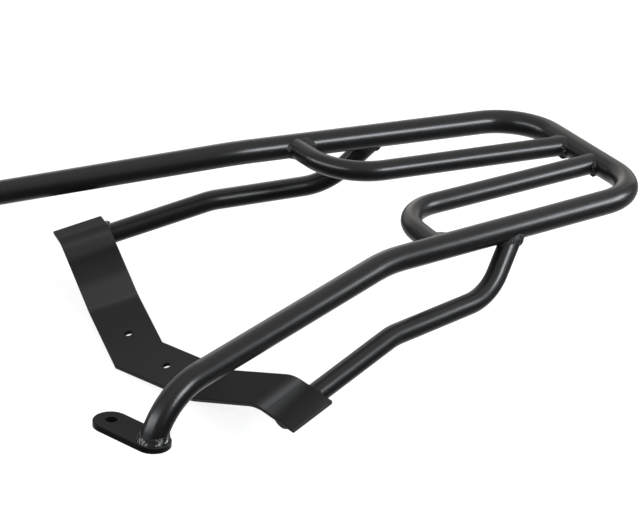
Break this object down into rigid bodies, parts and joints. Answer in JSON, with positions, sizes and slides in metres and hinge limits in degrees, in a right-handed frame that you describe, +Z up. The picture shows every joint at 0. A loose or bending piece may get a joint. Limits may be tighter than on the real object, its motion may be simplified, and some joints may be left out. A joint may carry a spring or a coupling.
{
  "type": "motorcycle luggage rack",
  "caption": "Welded steel-tube luggage rack for a motorcycle tail: a bent outer loop on bolted feet, inner luggage rails, and lower stays joined by a folded mounting strap.",
  "frame": {"origin": "midway between the two foot bolt holes, on the underside of the foot plates", "axes": "+X to the rear, +Y to the right-hand side, +Z up, with the luggage platform level"},
  "size_m": [0.5151, 0.3946, 0.1125],
  "materials": {
    "tube_coat": "satin black powder coat",
    "plate_coat": "matt black powder coat",
    "weld_coat": "black powder coat over a rippled bead",
    "cap_plastic": "matt black moulded plastic"
  },
  "bodies": {
    "root": {"main_loop_tube": "tube_coat", "mounting_strap": "plate_coat", "foot_plate_left": "plate_coat", "foot_plate_right": "plate_coat", "foot_weld_left": "weld_coat", "foot_weld_right": "weld_coat", "rail_tube_left": "tube_coat", "rail_tube_right": "tube_coat", "rail_rear_weld_left": "weld_coat", "rail_rear_weld_right": "weld_coat", "rail_front_weld_left": "weld_coat", "rail_front_weld_right": "weld_coat", "stay_tube_left": "tube_coat", "stay_tube_right": "tube_coat", "stay_top_weld_left": "weld_coat", "stay_top_weld_right": "weld_coat", "stay_cap_left": "cap_plastic", "stay_cap_right": "cap_plastic", "stay_strap_weld_left": "weld_coat", "stay_strap_weld_right": "weld_coat"}
  },
  "joints": []
}
